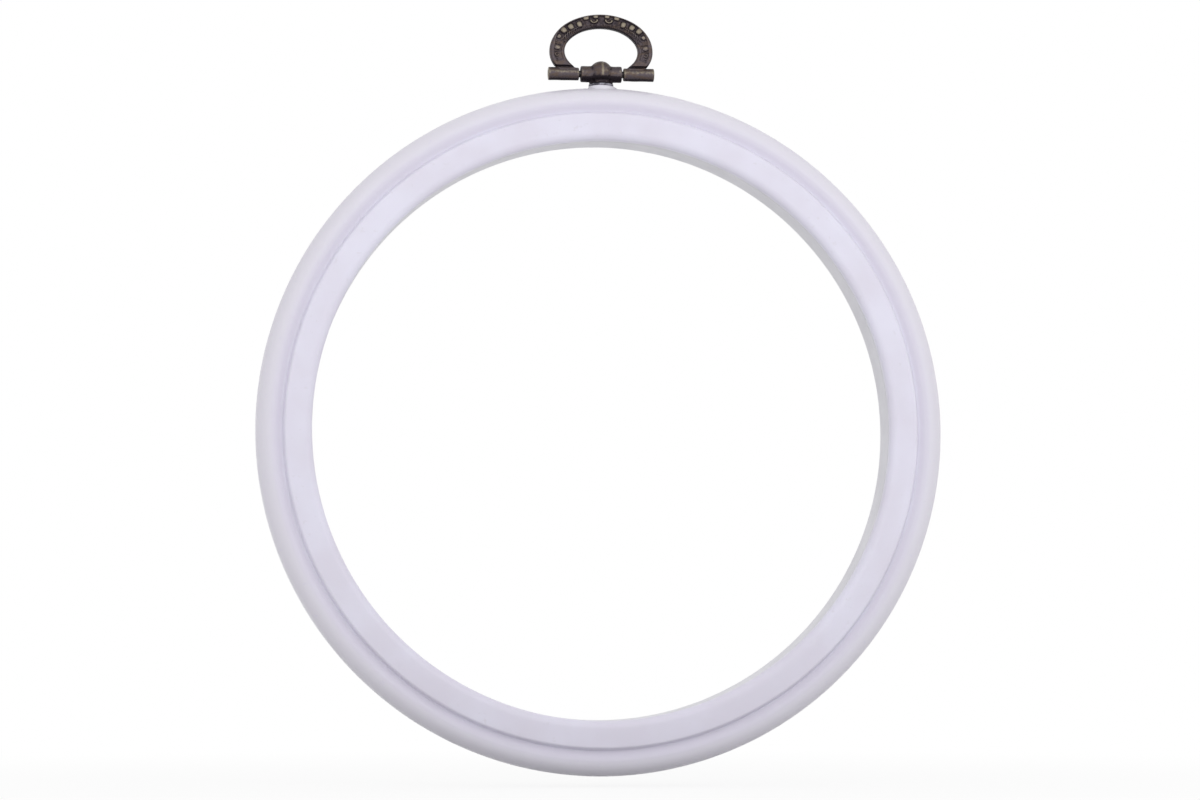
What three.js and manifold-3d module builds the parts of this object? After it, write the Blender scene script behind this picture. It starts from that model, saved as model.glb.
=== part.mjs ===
// A two-ring embroidery hoop that needs no tightening screw, with a cast hanger.
// A rigid inner ring with a rear flange sits in a soft outer ring, whose moulded front lip hides it.
// The hanger is a cast bail that swings on a pin in a ball-shaped knuckle, screwed through the outer ring.
// Units are millimetres. +Z is up, the front faces -Y, and the origin is where the bail sits on a nail.

import * as THREE from "three";
import { mergeVertices } from "three/addons/utils/BufferGeometryUtils.js";
import Module from "manifold-3d";

// Clearances
const FABRIC_GAP = 0.3; // room for one layer of cloth between the two rings
const STACK_GAP = 0.05; // between flat faces that are clamped together
const BORE_GAP = 0.1; // all round the pin, the stud and the screw

// Rings, across the radius
const APERTURE_RADIUS = 58.8;
const INNER_WALL = 2.2;
const FLANGE_REACH = 2.6; // the flange stands this far out of the wall
const RIDGE_RISE = 0.2; // the locking ridge round the inner ring's wall
const BAND_WIDTH = 6.2; // from the aperture to the front groove
const BEAD_WIDTH = 5.0; // from the front groove to the rim

// Rings, through the depth
const FLANGE_THICKNESS = 1.5;
const SEAT_DEPTH = 7.0; // the inner ring's wall in front of its flange
const LIP_THICKNESS = 2.6; // the outer ring's lip in front of the inner ring
const BEAD_DROP = 0.7; // the bead's crown lies this far behind the band
const GROOVE_DROP = 1.5; // the groove's floor lies this far behind the band
const RIDGE_WIDTH = 1.2;
const RIDGE_SETBACK = 1.8; // from the inner ring's front edge to the ridge

// Roundings of the rings
const LIP_ROLL_WIDTH = 2.3;
const LIP_ROLL_DEPTH = 1.9;
const LIP_EDGE = 0.35;
const BAND_EDGE = 0.45;
const GROOVE_LEAN = 0.25; // the step from the band down to the groove leans by this much
const COVE_WIDTH = 1.5; // the hollow that rises from the groove to the bead
const BEAD_ROLL_WIDTH = 3.2;
const BEAD_ROLL_DEPTH = 4.4;
const BACK_ROUND = 2.2;
const LEAD_IN = 0.6;
const RING_EDGE = 0.45;

// Boss, washer and knuckle, stacked on the outer ring's rim
const BOSS_RADIUS = 2.75;
const BOSS_RISE = 0.6;
const BOSS_FLARE = 0.6;
const BOSS_ROOT = 2.6; // how deep the boss is rooted in the ring
const WASHER_RADIUS = 2.55;
const WASHER_THICKNESS = 0.5;
const NECK_RADIUS = 2.3;
const NECK_SHOWING = 0.35; // between the washer and the cross tube
const STUD_RADIUS = 1.7;
const STUD_LENGTH = 5.5;
const BALL_RADIUS = 2.35;
const CROSS_TUBE_RADIUS = 1.65;
const CROSS_TUBE_LENGTH = 8.4;
const TUBE_EDGE = 0.2;

// Screw from inside the outer ring into the stud
const SCREW_RADIUS = 1.0;
const SCREW_ENGAGEMENT = 3.3;
const SCREW_TIP_ROOM = 0.8;
const HEAD_RADIUS = 2.4;
const HEAD_THICKNESS = 1.0;
const HEAD_RECESS = 0.3; // the head lies this far behind the seat
const SLOT_WIDTH = 0.6;
const SLOT_DEPTH = 0.5;
const SCREW_EDGE = 0.3;

// Pin
const PIN_RADIUS = 0.7;
const PIN_RECESS = 0.15; // the pin's ends lie this far inside the barrels
const PIN_EDGE = 0.2;

// Bail
const BARREL_RADIUS = 1.33;
const BARREL_LENGTH = 6.3;
const BARREL_GAP = 0.4; // from a barrel to the end of the cross tube
const BAIL_HALF_WIDTH = 9.1; // of the bail's centre line, an oval
const BAIL_HALF_HEIGHT = 6.25;
const BAIL_CENTRE_RISE = 4.65; // from the pin's axis to the oval's centre
const BAIL_BAND = 2.85;
const BAIL_THICKNESS = 2.0;
const BAIL_EDGE = 0.45;
const CHANNEL_WIDTH = 1.7; // the sunk channel on both faces of the band
const CHANNEL_DEPTH = 0.3;
const CHANNEL_SLOPE = 0.2;

// Pearls in the bail's channel
const PEARL_RADIUS = 0.55;
const PEARL_PITCH = 1.75;
const PEARL_SINK = 0.15; // how far a pearl's centre lies under the channel's floor
const LOWEST_PEARL = 0.1; // the angle of the lowest pearls under the oval's widest place

// Fineness
const RING_SEGMENTS = 96;
const OUTER_ARC_DIVISIONS = 2;
const INNER_ARC_DIVISIONS = 1;
const BALL_SEGMENTS = 24;
const TUBE_SEGMENTS = 24;
const PIN_SEGMENTS = 16;
const BAIL_STEPS = 36;
const PEARL_SEGMENTS = 8;
const PEARL_RINGS = 4;
const OVERCUT = 1; // how far a cutter runs past the face that it opens
const MERGE_DISTANCE = 1e-4;

// Radii and depths of the rings. Depths count forwards from the flange's back face.
const WALL_RADIUS = APERTURE_RADIUS + INNER_WALL;
const FLANGE_RADIUS = WALL_RADIUS + FLANGE_REACH;
const SEAT_RADIUS = WALL_RADIUS + FABRIC_GAP;
const GROOVE_RADIUS = APERTURE_RADIUS + BAND_WIDTH;
const HOOP_RADIUS = GROOVE_RADIUS + BEAD_WIDTH;
const WALL_FRONT = FLANGE_THICKNESS + SEAT_DEPTH;
const OUTER_BACK = FLANGE_THICKNESS + FABRIC_GAP;
const LIP_BACK = WALL_FRONT + FABRIC_GAP;
const BAND_FRONT = LIP_BACK + LIP_THICKNESS;
const BEAD_FRONT = BAND_FRONT - BEAD_DROP;
const GROOVE_FLOOR = BAND_FRONT - GROOVE_DROP;
const RIDGE_PLACE = WALL_FRONT - RIDGE_SETBACK;
const HANGER_PLACE = (OUTER_BACK + LIP_BACK) / 2;

// Heights of the hanger's stack. They count outwards from the hoop's centre.
const BOSS_TOP = HOOP_RADIUS + BOSS_RISE;
const WASHER_BOTTOM = BOSS_TOP + STACK_GAP;
const WASHER_TOP = WASHER_BOTTOM + WASHER_THICKNESS;
const NECK_BOTTOM = WASHER_TOP + STACK_GAP;
const PIN_HEIGHT = NECK_BOTTOM + NECK_SHOWING + CROSS_TUBE_RADIUS;
const STUD_END = NECK_BOTTOM - STUD_LENGTH;
const HEAD_FACE = SEAT_RADIUS + HEAD_RECESS;
const HEAD_SEAT = HEAD_FACE + HEAD_THICKNESS;
const SCREW_TIP = STUD_END + SCREW_ENGAGEMENT;
const STUD_BORE = STUD_RADIUS + BORE_GAP;
const SCREW_BORE = SCREW_RADIUS + BORE_GAP;
const PIN_BORE = PIN_RADIUS + BORE_GAP;

// Places along the pin, from the middle of the hanger
const CROSS_TUBE_END = CROSS_TUBE_LENGTH / 2;
const BARREL_START = CROSS_TUBE_END + BARREL_GAP;
const BARREL_END = BARREL_START + BARREL_LENGTH;

// Heights from the nail
const PIN_Z = -(BAIL_CENTRE_RISE + BAIL_HALF_HEIGHT - BAIL_BAND / 2);
const HOOP_Z = PIN_Z - PIN_HEIGHT;

const wasm = await Module();
wasm.setup();

// Closed three.js geometry as a solid that can be joined and cut.
function toSolid(geometry) {
  const bare = geometry.clone();
  bare.deleteAttribute("normal");
  bare.deleteAttribute("uv");
  const merged = mergeVertices(bare, MERGE_DISTANCE);
  const mesh = new wasm.Mesh({
    numProp: 3,
    vertProperties: new Float32Array(merged.attributes.position.array),
    triVerts: new Uint32Array(merged.index.array),
  });
  return new wasm.Manifold(mesh);
}

function toGeometry(solid) {
  const mesh = solid.getMesh();
  const geometry = new THREE.BufferGeometry();
  geometry.setAttribute("position", new THREE.BufferAttribute(mesh.vertProperties, 3));
  geometry.setIndex(new THREE.BufferAttribute(mesh.triVerts, 1));
  geometry.computeVertexNormals();
  return geometry;
}

const join = (first, ...others) => others.reduce((sum, other) => sum.add(other), first);

const cut = (solid, ...cutters) => cutters.reduce((rest, cutter) => rest.subtract(cutter), solid);

// A solid turned about the Z axis, from [radius, height] pairs that start and end on the axis.
function turned(pairs, segments = TUBE_SEGMENTS) {
  const points = pairs.map(([radius, height]) => new THREE.Vector2(radius, height));
  return new THREE.LatheGeometry(points, segments).rotateX(Math.PI / 2);
}

// A round bar between two heights, with an edge chamfered at both ends.
function bar(radius, bottom, top, edge = 0, segments = TUBE_SEGMENTS) {
  const chamfered = [
    [0, bottom],
    [radius - edge, bottom],
    [radius, bottom + edge],
    [radius, top - edge],
    [radius - edge, top],
    [0, top],
  ];
  const plain = [
    [0, bottom],
    [radius, bottom],
    [radius, top],
    [0, top],
  ];
  return turned(edge > 0 ? chamfered : plain, segments);
}

// The same bar, lying along X.
const barAlongX = (...sizes) => bar(...sizes).rotateY(Math.PI / 2);

// A quarter of an ellipse in a ring's section, from one quarter turn to the next.
function roundCorner(path, radius, depth, width, height, quarterTurns) {
  const start = (quarterTurns * Math.PI) / 2;
  path.absellipse(radius, depth, width, height, start, start + Math.PI / 2, false);
}

// Turns a section of [radius, depth] points about the hoop's axis, with the hanger's plane at y = 0.
function ringFromSection(path, divisions) {
  const section = path.getPoints(divisions).map((point) => new THREE.Vector2(point.x, HANGER_PLACE - point.y));
  section.push(section[0].clone());
  return new THREE.LatheGeometry(section.reverse(), RING_SEGMENTS);
}

// The outer ring's section: back, rim, bead, groove, band, lip, and the seat for the inner ring.
function outerRingSection() {
  const backCentre = HOOP_RADIUS - BACK_ROUND;
  const beadCentre = HOOP_RADIUS - BEAD_ROLL_WIDTH;
  const beadBase = BEAD_FRONT - BEAD_ROLL_DEPTH;
  const coveEnd = GROOVE_RADIUS + COVE_WIDTH;
  const bandEnd = GROOVE_RADIUS - GROOVE_LEAN;
  const lipCentre = APERTURE_RADIUS + LIP_ROLL_WIDTH;
  const lipBase = BAND_FRONT - LIP_ROLL_DEPTH;
  const path = new THREE.Path();
  path.moveTo(SEAT_RADIUS + LEAD_IN, OUTER_BACK);
  path.lineTo(backCentre, OUTER_BACK);
  roundCorner(path, backCentre, OUTER_BACK + BACK_ROUND, BACK_ROUND, BACK_ROUND, -1);
  path.lineTo(HOOP_RADIUS, beadBase);
  roundCorner(path, beadCentre, beadBase, BEAD_ROLL_WIDTH, BEAD_ROLL_DEPTH, 0);
  path.quadraticCurveTo(coveEnd, BEAD_FRONT, GROOVE_RADIUS, GROOVE_FLOOR);
  path.lineTo(bandEnd, BAND_FRONT - BAND_EDGE);
  path.quadraticCurveTo(bandEnd, BAND_FRONT, bandEnd - BAND_EDGE, BAND_FRONT);
  path.lineTo(lipCentre, BAND_FRONT);
  roundCorner(path, lipCentre, lipBase, LIP_ROLL_WIDTH, LIP_ROLL_DEPTH, 1);
  path.lineTo(APERTURE_RADIUS, LIP_BACK + LIP_EDGE);
  path.lineTo(APERTURE_RADIUS + LIP_EDGE, LIP_BACK);
  path.lineTo(SEAT_RADIUS, LIP_BACK);
  path.lineTo(SEAT_RADIUS, RIDGE_PLACE + RIDGE_WIDTH / 2);
  path.lineTo(SEAT_RADIUS + RIDGE_RISE, RIDGE_PLACE);
  path.lineTo(SEAT_RADIUS, RIDGE_PLACE - RIDGE_WIDTH / 2);
  path.lineTo(SEAT_RADIUS, OUTER_BACK + LEAD_IN);
  return path;
}

// The inner ring's section: flange, wall with its locking ridge, and the smooth aperture.
function innerRingSection() {
  const flangeCentre = FLANGE_RADIUS - RING_EDGE;
  const path = new THREE.Path();
  path.moveTo(APERTURE_RADIUS + RING_EDGE, 0);
  path.lineTo(flangeCentre, 0);
  roundCorner(path, flangeCentre, RING_EDGE, RING_EDGE, RING_EDGE, -1);
  path.lineTo(FLANGE_RADIUS, FLANGE_THICKNESS - RING_EDGE);
  roundCorner(path, flangeCentre, FLANGE_THICKNESS - RING_EDGE, RING_EDGE, RING_EDGE, 0);
  path.lineTo(WALL_RADIUS, FLANGE_THICKNESS);
  path.lineTo(WALL_RADIUS, RIDGE_PLACE - RIDGE_WIDTH / 2);
  path.lineTo(WALL_RADIUS + RIDGE_RISE, RIDGE_PLACE);
  path.lineTo(WALL_RADIUS, RIDGE_PLACE + RIDGE_WIDTH / 2);
  path.lineTo(WALL_RADIUS, WALL_FRONT - RING_EDGE);
  roundCorner(path, WALL_RADIUS - RING_EDGE, WALL_FRONT - RING_EDGE, RING_EDGE, RING_EDGE, 0);
  path.lineTo(APERTURE_RADIUS + RING_EDGE, WALL_FRONT);
  roundCorner(path, APERTURE_RADIUS + RING_EDGE, WALL_FRONT - RING_EDGE, RING_EDGE, RING_EDGE, 1);
  path.lineTo(APERTURE_RADIUS, RING_EDGE);
  return path;
}

// The outer ring with its boss, and the stepped hole for the stud, the screw and the screw's head.
function outerRing() {
  const ring = toSolid(ringFromSection(outerRingSection(), OUTER_ARC_DIVISIONS));
  const boss = turned([
    [0, HOOP_RADIUS - BOSS_ROOT],
    [BOSS_RADIUS + BOSS_FLARE, HOOP_RADIUS - BOSS_ROOT],
    [BOSS_RADIUS + BOSS_FLARE, HOOP_RADIUS - BOSS_FLARE],
    [BOSS_RADIUS, BOSS_TOP],
    [0, BOSS_TOP],
  ]);
  const studHole = bar(STUD_BORE, STUD_END - BORE_GAP, BOSS_TOP + OVERCUT);
  const screwHole = bar(SCREW_BORE, SEAT_RADIUS - OVERCUT, STUD_END + OVERCUT);
  const headPocket = bar(HEAD_RADIUS + BORE_GAP, SEAT_RADIUS - OVERCUT, HEAD_SEAT + STACK_GAP);
  const holes = [studHole, screwHole, headPocket].map(toSolid);
  return toGeometry(cut(join(ring, toSolid(boss)), ...holes));
}

function innerRing() {
  return toGeometry(toSolid(ringFromSection(innerRingSection(), INNER_ARC_DIVISIONS)));
}

// The slotted screw, its head towards the hoop's centre.
function fixingScrew() {
  const body = turned([
    [0, HEAD_FACE],
    [HEAD_RADIUS - SCREW_EDGE, HEAD_FACE],
    [HEAD_RADIUS, HEAD_FACE + SCREW_EDGE],
    [HEAD_RADIUS, HEAD_SEAT],
    [SCREW_RADIUS, HEAD_SEAT],
    [SCREW_RADIUS, SCREW_TIP - SCREW_EDGE],
    [SCREW_RADIUS - SCREW_EDGE, SCREW_TIP],
    [0, SCREW_TIP],
  ]);
  const slot = new THREE.BoxGeometry(2 * HEAD_RADIUS + OVERCUT, SLOT_WIDTH, 2 * SLOT_DEPTH);
  slot.translate(0, 0, HEAD_FACE);
  return toGeometry(cut(toSolid(body), toSolid(slot)));
}

function neckWasher() {
  const disc = bar(WASHER_RADIUS, WASHER_BOTTOM, WASHER_TOP);
  const hole = bar(STUD_BORE, WASHER_BOTTOM - OVERCUT, WASHER_TOP + OVERCUT);
  return toGeometry(cut(toSolid(disc), toSolid(hole)));
}

// The knuckle: a ball on a neck and a stud, with the cross tube that the pin runs through.
function hangerKnuckle() {
  const ball = new THREE.SphereGeometry(BALL_RADIUS, BALL_SEGMENTS, BALL_SEGMENTS / 2);
  ball.rotateX(Math.PI / 2).translate(0, 0, PIN_HEIGHT);
  const crossTube = barAlongX(CROSS_TUBE_RADIUS, -CROSS_TUBE_END, CROSS_TUBE_END, TUBE_EDGE);
  crossTube.translate(0, 0, PIN_HEIGHT);
  const neck = bar(NECK_RADIUS, NECK_BOTTOM, PIN_HEIGHT);
  const underNeck = bar(BALL_RADIUS, NECK_BOTTOM - BALL_RADIUS, NECK_BOTTOM);
  const head = cut(join(toSolid(ball), toSolid(crossTube), toSolid(neck)), toSolid(underNeck));
  const stud = bar(STUD_RADIUS, STUD_END, PIN_HEIGHT);
  const pinBore = barAlongX(PIN_BORE, -CROSS_TUBE_END - OVERCUT, CROSS_TUBE_END + OVERCUT);
  pinBore.translate(0, 0, PIN_HEIGHT);
  const screwBore = bar(SCREW_BORE, STUD_END - OVERCUT, SCREW_TIP + SCREW_TIP_ROOM);
  return toGeometry(cut(join(head, toSolid(stud)), toSolid(pinBore), toSolid(screwBore)));
}

function hingePin() {
  const half = BARREL_END - PIN_RECESS;
  return barAlongX(PIN_RADIUS, -half, half, PIN_EDGE, PIN_SEGMENTS);
}

// The bail's centre line: an oval in the XZ plane above the pin, open between its two feet.
// It runs from one end angle over the top to the other. Angles count from the oval's widest place.
class BailLine extends THREE.Curve {
  constructor(endAngle) {
    super();
    this.endAngle = endAngle;
  }
  getPoint(share, target = new THREE.Vector3()) {
    const angle = this.endAngle + share * (Math.PI - 2 * this.endAngle);
    const x = BAIL_HALF_WIDTH * Math.cos(angle);
    const z = BAIL_CENTRE_RISE + BAIL_HALF_HEIGHT * Math.sin(angle);
    return target.set(x, 0, z);
  }
}

// Half of the bail's section, from the outer edge to the inner: round edges and a sunk channel between rims.
// x runs through the thickness, y across the band, and side is 1 for the front half, -1 for the back.
function bailSectionHalf(section, side) {
  const face = (side * BAIL_THICKNESS) / 2;
  const floor = face - side * CHANNEL_DEPTH;
  const edge = (side * BAIL_BAND) / 2;
  const rim = (side * CHANNEL_WIDTH) / 2;
  const slope = side * CHANNEL_SLOPE;
  const round = side * BAIL_EDGE;
  section.lineTo(face - round, -edge);
  section.quadraticCurveTo(face, -edge, face, -edge + round);
  section.lineTo(face, -rim);
  section.lineTo(floor, slope - rim);
  section.lineTo(floor, rim - slope);
  section.lineTo(face, rim);
  section.lineTo(face, edge - round);
  section.quadraticCurveTo(face, edge, face - round, edge);
}

function bailSection() {
  const section = new THREE.Shape();
  section.moveTo(BAIL_EDGE - BAIL_THICKNESS / 2, -BAIL_BAND / 2);
  bailSectionHalf(section, 1);
  bailSectionHalf(section, -1);
  return section;
}

// Pearls an even pitch apart in both channels, none of them at the very top.
function pearls() {
  const line = new BailLine(-LOWEST_PEARL);
  const intervals = 2 * Math.floor(line.getLength() / PEARL_PITCH / 2) + 1;
  const sunk = BAIL_THICKNESS / 2 - CHANNEL_DEPTH - PEARL_SINK;
  return line.getSpacedPoints(intervals).flatMap((place) =>
    [-sunk, sunk].map((y) => {
      const pearl = new THREE.SphereGeometry(PEARL_RADIUS, PEARL_SEGMENTS, PEARL_RINGS);
      return toSolid(pearl.rotateX(Math.PI / 2).translate(place.x, y, place.z));
    }),
  );
}

// The cast bail: the arch with its pearls, on two barrels bored for the pin.
// The arch's feet start inside the barrels' inner ends and are trimmed at the pin's axis.
function bail() {
  const arch = new THREE.ExtrudeGeometry(bailSection(), {
    steps: BAIL_STEPS,
    curveSegments: 2,
    extrudePath: new BailLine(-Math.acos((BARREL_START + BAIL_BAND / 4) / BAIL_HALF_WIDTH)),
  });
  const underPin = new THREE.BoxGeometry(2 * BARREL_END, 2 * BAIL_THICKNESS, 2 * BAIL_HALF_HEIGHT);
  underPin.translate(0, 0, -BAIL_HALF_HEIGHT);
  const barrel = toSolid(barAlongX(BARREL_RADIUS, BARREL_START, BARREL_END, TUBE_EDGE));
  const otherBarrel = toSolid(barAlongX(BARREL_RADIUS, -BARREL_END, -BARREL_START, TUBE_EDGE));
  const bore = toSolid(barAlongX(PIN_BORE, -BARREL_END - OVERCUT, BARREL_END + OVERCUT));
  const trimmedArch = cut(toSolid(arch), toSolid(underPin));
  return toGeometry(cut(join(trimmedArch, barrel, otherBarrel, ...pearls()), bore));
}

const softVinyl = new THREE.MeshStandardMaterial({ color: 0xe3e0ee, roughness: 0.38, metalness: 0 });
const rigidPlastic = new THREE.MeshStandardMaterial({ color: 0xe6e4ee, roughness: 0.3, metalness: 0 });
const antiqueBrass = new THREE.MeshStandardMaterial({ color: 0x5c4f43, roughness: 0.42, metalness: 0.9 });
const platedSteel = new THREE.MeshStandardMaterial({ color: 0x9a989c, roughness: 0.3, metalness: 1 });

function piece(name, geometry, material) {
  const mesh = new THREE.Mesh(geometry, material);
  mesh.name = name;
  return mesh;
}

// Everything that is measured from the hoop's centre.
const hoop = new THREE.Group();
hoop.position.z = HOOP_Z;
hoop.add(
  piece("outer_ring", outerRing(), softVinyl),
  piece("inner_ring", innerRing(), rigidPlastic),
  piece("fixing_screw", fixingScrew(), platedSteel),
  piece("neck_washer", neckWasher(), platedSteel),
  piece("hanger_knuckle", hangerKnuckle(), antiqueBrass),
);

// Everything that is measured from the pin's axis.
const hanger = new THREE.Group();
hanger.position.z = PIN_Z;
hanger.add(piece("hinge_pin", hingePin(), platedSteel), piece("bail", bail(), antiqueBrass));

const part = new THREE.Group();
part.add(hoop, hanger);

export default part;
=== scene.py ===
"""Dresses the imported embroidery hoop: ring mouldings, a cast and worn hanger, light and the camera.

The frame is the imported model: metres, +Z up, the front faces -Y, and the origin is where the bail
sits on a nail. Sizes below are in millimetres, and depths count forwards from the flange's back.
"""
import math

import bmesh
import bpy
import numpy as np
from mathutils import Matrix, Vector

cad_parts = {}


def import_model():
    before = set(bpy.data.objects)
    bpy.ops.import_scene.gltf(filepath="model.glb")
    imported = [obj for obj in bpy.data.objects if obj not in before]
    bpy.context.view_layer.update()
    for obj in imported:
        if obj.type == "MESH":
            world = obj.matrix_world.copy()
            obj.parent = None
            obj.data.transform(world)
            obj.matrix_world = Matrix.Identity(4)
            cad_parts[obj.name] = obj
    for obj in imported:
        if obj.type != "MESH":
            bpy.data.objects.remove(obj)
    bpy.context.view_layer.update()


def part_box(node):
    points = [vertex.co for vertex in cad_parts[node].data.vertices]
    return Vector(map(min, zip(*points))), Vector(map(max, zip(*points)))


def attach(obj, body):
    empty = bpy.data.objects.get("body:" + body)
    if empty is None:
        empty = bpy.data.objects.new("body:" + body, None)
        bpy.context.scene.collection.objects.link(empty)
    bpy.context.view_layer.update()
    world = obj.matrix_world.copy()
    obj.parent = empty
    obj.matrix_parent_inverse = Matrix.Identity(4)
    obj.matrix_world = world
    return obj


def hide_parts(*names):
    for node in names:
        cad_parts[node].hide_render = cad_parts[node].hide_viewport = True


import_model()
MM = 0.001


def span(node):
    """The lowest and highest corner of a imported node, in millimetres."""
    low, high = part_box(node)
    return np.array(low) / MM, np.array(high) / MM


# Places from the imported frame
INNER_LOW, INNER_HIGH = span("inner_ring")
OUTER_LOW, OUTER_HIGH = span("outer_ring")
PIN_LOW, PIN_HIGH = span("hinge_pin")
WASHER_LOW, WASHER_HIGH = span("neck_washer")
KNUCKLE_LOW, KNUCKLE_HIGH = span("hanger_knuckle")
SCREW_LOW, SCREW_HIGH = span("fixing_screw")
BAIL_HIGH = span("bail")[1]
HOOP_Z = (INNER_LOW[2] + INNER_HIGH[2]) / 2
PIN_Z = (PIN_LOW[2] + PIN_HIGH[2]) / 2
BACK_Y = INNER_HIGH[1]

# Hoop section
HOOP_RADIUS = OUTER_HIGH[0]
FLANGE_RADIUS = INNER_HIGH[0]
OUTER_BACK = BACK_Y - OUTER_HIGH[1]
WALL_FRONT = BACK_Y - INNER_LOW[1]
BAND_FRONT = BACK_Y - OUTER_LOW[1]
APERTURE_RADIUS = 58.8
WALL_RADIUS = 61.0
SEAT_RADIUS = 61.3
BAND_EDGE = 64.3
GROOVE_RADIUS = 64.7
BEAD_CREST = 66.4
FABRIC_GAP = 0.3  # room for one layer of cloth between the rings
LIP_BACK = WALL_FRONT + FABRIC_GAP
FLANGE_THICKNESS = 1.5
BEAD_DROP = 0.85
BEAD_TILT = 0.36
GROOVE_DROP = 1.4
GROOVE_WIDTH = 0.5
RIDGE_RISE = 0.2
RIDGE_WIDTH = 1.2
RIDGE_SETBACK = 1.8
SEAM_RISE = 0.03
SEAM_WIDTH = 0.3
RIM_START = GROOVE_RADIUS + 1.2  # from this radius outwards the outline is the rim
EJECTOR_MARKS = 12
EJECTOR_RADIUS = 1.25
EJECTOR_DEPTH = 0.3

# Roundings: how far each reaches along the side before its corner and the side after it
RIM_BACK_EDGE = (2.2, 2.2)
SEAM_EDGE = (0.05, 0.05)
RIM_FRONT_EDGE = (3.4, 2.9)
CREST_EDGE = (0.5, 0.6)
BEAD_FOOT_EDGE = (0.5, 0.2)
GROOVE_EDGE = (0.2, 0.2)
BAND_CORNER = (0.45, 0.4)
LIP_FRONT_EDGE = (1.7, 1.3)
LIP_BACK_EDGE = (0.35, 0.35)
FINE_EDGE = (0.15, 0.15)
LEAD_IN = (0.6, 0.6)
RING_EDGE = (0.45, 0.45)

# Boss under the hanger
BOSS_FLAT = 2.55
BOSS_FOOT = 2.9
BOSS_RIGHT_FLARE = 1.5
BOSS_SINK = 0.04  # of its foot into the rim
BOSS_GAP = 0.04  # under the washer
BOSS_TUCK = 0.6
FLARE_POWER, FLARE_SWELL = 2.4, 1.4

# Hanger
PIN_RADIUS = PIN_HIGH[1]
CROSS_TUBE_RADIUS = 1.65
BALL_RADIUS = 2.35
BALL_RISE = 0.35
BALL_SEAM_PLACE = 0.17  # along the pin's axis
BALL_SEAM_WIDTH = 0.17
BALL_SEAM_RISE = 0.05
BALL_SHOWS = (-0.9, 0.6)  # from this height over the pin's axis, faded in over this length
NECK_RADIUS = 2.4
NECK_TOP = -1.35
FILLET = 0.22
CREASE = 0.15
BORE_MOUTH = ((0, 0.22), (0.06, 0.08), (0.6, 0.06))  # distance into the tube, room round the pin
STUD_RADIUS = 1.7
STUD_RISE = 0.5  # over the washer, into the neck
STUD_HOLE_SETBACK = 1  # the stud's hole stops this far under the washer, out of sight
SCREW_RADIUS = 1.0
SCREW_HEAD = 1.0
SLOT_WIDTH = 0.6
SLOT_DEPTH = 0.5
SLOT_REACH = 3  # of its cutter, from the screw's axis
OVERCUT = 1  # how far a cutter starts outside the face that it opens
STACK_GAP = 0.05  # between parts that lie against each other
BORE_GAP = 0.1  # all round the stud, the screw and its head
BARREL_RADIUS = 1.33
BARREL_START = 4.6
BARREL_END = BAIL_HIGH[0]
TUBE_EDGE = 0.2
BAIL_HALF_WIDTH = 9.1  # of the bail's centre line, an oval
BAIL_HALF_HEIGHT = 6.25
BAIL_CENTRE_RISE = 4.65
BAIL_BAND = 2.85
BAIL_THICKNESS = 2.0
BAIL_EDGE = 0.5
FOOT_SINK = 0.3  # of the bail's feet under the pin's axis
FOOT_CREASE_RISE, FOOT_CREASE_WIDTH, FOOT_CREASE_DEPTH = 1.4, 0.2, 0.4

# Changes along the bail: how much, and from what distance from its top over what length
SIDE_SWELL, SWELL_SPAN = 0.07, (3, 6)
FOOT_TAPER, TAPER_SPAN = 0.3, (12.5, 4.5)
FOOT_START = 12

# Channel in the bail's faces: its edges by their offset from the band's middle, and how it changes
CHANNEL_DEPTH = 0.34
CHANNEL_EDGE = 0.14
CHANNEL_OUTER, OUTER_SHIFT, OUTER_SPAN = 1.2, -0.5, (8.6, 2.4)
CHANNEL_INNER, INNER_SHIFT, INNER_SPAN = -1.14, 0.25, (9.6, 2.0)
CHANNEL_SHALLOWER, SHALLOWER_SPAN = 0.45, (8.5, 2.5)
CHANNEL_END_SPAN = (14.0, 0.5)

# Unevenness of the castings: length of the waves and their height
KNUCKLE_WAVES = (5, 0.025)
BARREL_WAVES = (7, 0.025)
BAIL_WAVES = (7, 0.02)

# Wear and painted light, from 0 to 1: added where the metal is rubbed or a highlight is painted, taken
# off where it is dirty or shade is painted
PATTERN_RUBBED = 0.38
HOLLOW_DIRT = 0.2
RIM_PAINTED_SHADE = 0.16
BARREL_PAINTED_HIGHLIGHT = 0.26
CROSS_TUBE_PAINTED_HIGHLIGHT = 0.14
TUBE_END_PAINTED_SHADE = 0.45
BALL_SEAM_WEAR_AND_HIGHLIGHT = 0.34
BALL_SIDE_PAINTED_SHADE = 0.2
NECK_PAINTED_SHADE = 0.8
UNDERSIDE_PAINTED_SHADE = 0.55
STRIPE_HEIGHT = 0.35  # over the pin's axis, where a highlight stripe is painted on the tubes

# Fineness
RING_SEGMENTS = 384
CORNER_STEPS = 10
LATHE_SEGMENTS = 64
FINE_SEGMENTS = 96
COARSE_SEGMENTS = 48
MARK_SEGMENTS = 32
BOSS_LOOPS = 34
CASTING_STEP = 0.07
CASTING_SEGMENTS = 180
HALVINGS = 24
BARREL_STEPS = 60
LINE_STEPS = 4001
BAIL_STEPS = 620
FACE_STEPS = 52
EDGE_STEPS = 7
SHARP = 40  # degrees between two faces above which their edge stays sharp

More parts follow.
